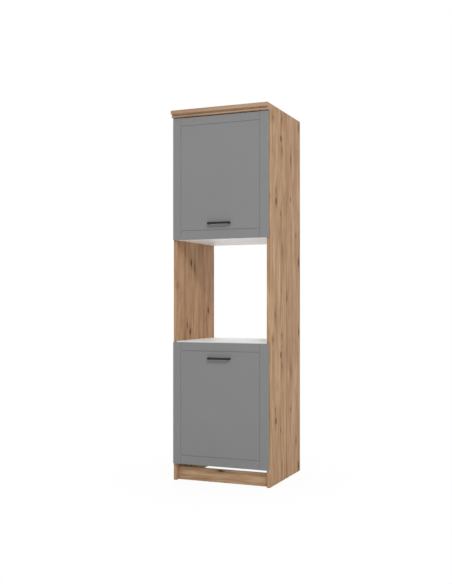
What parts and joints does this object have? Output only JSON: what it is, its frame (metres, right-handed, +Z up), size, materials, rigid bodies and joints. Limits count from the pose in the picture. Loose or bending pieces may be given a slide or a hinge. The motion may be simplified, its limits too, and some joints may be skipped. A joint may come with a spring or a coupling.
{
  "type": "oven housing tall cabinet",
  "caption": "Tall oven-housing kitchen cabinet with wood-look sides, an open appliance niche at working height, framed grey doors above and below it, a plinth and a cornice.",
  "frame": {"origin": "on the floor, at the middle of the whole cabinet's width and depth", "axes": "+Z up, +X to the right of someone facing the doors, the doors face -Y"},
  "size_m": [0.6, 0.6044, 2.166],
  "materials": {
    "oak_laminate": "matt knotty oak laminate",
    "white_melamine": "satin white melamine",
    "white_hardboard": "painted hardboard",
    "grey_front": "matt grey foil on fibreboard",
    "black_handle": "matt black powder coat",
    "nickel_plated_steel": "satin nickel",
    "zinc_plated_steel": "bright zinc",
    "moulded_plastic": "moulded",
    "clear_buffer": "soft translucent",
    "beech_dowel": "bare turned beech"
  },
  "bodies": {
    "carcass": {"left_side_panel": "oak_laminate", "right_side_panel": "oak_laminate", "bottom_panel": "white_melamine", "niche_floor_panel": "white_melamine", "niche_roof_panel": "white_melamine", "top_panel": "white_melamine", "front_rail": "white_melamine", "rear_fixing_rail": "white_melamine", "cam_locks": "zinc_plated_steel", "cam_bolts": "zinc_plated_steel", "dowels": "beech_dowel", "upper_back_panel": "white_hardboard", "lower_back_panel": "white_hardboard", "back_panel_nails": "zinc_plated_steel", "plinth_board": "oak_laminate", "plinth_blocks": "moulded_plastic", "plinth_block_screws": "zinc_plated_steel", "floor_glides": "moulded_plastic", "cornice_moulding": "oak_laminate", "cornice_screws": "zinc_plated_steel", "lower_shelf": "white_melamine", "lower_shelf_pins": "zinc_plated_steel", "upper_shelf": "white_melamine", "upper_shelf_pins": "zinc_plated_steel", "lower_hinge_arms": "nickel_plated_steel", "lower_hinge_plates": "nickel_plated_steel", "upper_hinge_arms": "nickel_plated_steel", "upper_hinge_plates": "nickel_plated_steel", "hinge_plate_screws": "zinc_plated_steel", "hinge_adjusting_screws": "zinc_plated_steel"},
    "upper_door": {"upper_door_hinge_stile": "grey_front", "upper_door_free_stile": "grey_front", "upper_door_bottom_rail": "grey_front", "upper_door_top_rail": "grey_front", "upper_door_panel": "grey_front", "upper_handle": "black_handle", "upper_handle_screws": "zinc_plated_steel", "upper_hinge_cups": "nickel_plated_steel", "upper_hinge_pins": "nickel_plated_steel", "upper_hinge_cup_screws": "zinc_plated_steel", "upper_door_buffers": "clear_buffer"},
    "lower_door": {"lower_door_hinge_stile": "grey_front", "lower_door_free_stile": "grey_front", "lower_door_bottom_rail": "grey_front", "lower_door_top_rail": "grey_front", "lower_door_panel": "grey_front", "lower_handle": "black_handle", "lower_handle_screws": "zinc_plated_steel", "lower_hinge_cups": "nickel_plated_steel", "lower_hinge_pins": "nickel_plated_steel", "lower_hinge_cup_screws": "zinc_plated_steel", "lower_door_buffers": "clear_buffer"}
  },
  "joints": [
    {"name": "upper_door_hinge", "type": "hinge", "parent": "carcass", "child": "upper_door", "pos_m": [-0.2892, -0.26875, 1.7665], "axis": [0, 0, -1], "range_deg": [0, 95]},
    {"name": "lower_door_hinge", "type": "hinge", "parent": "carcass", "child": "lower_door", "pos_m": [-0.2892, -0.26875, 0.4565], "axis": [0, 0, -1], "range_deg": [0, 95]}
  ]
}
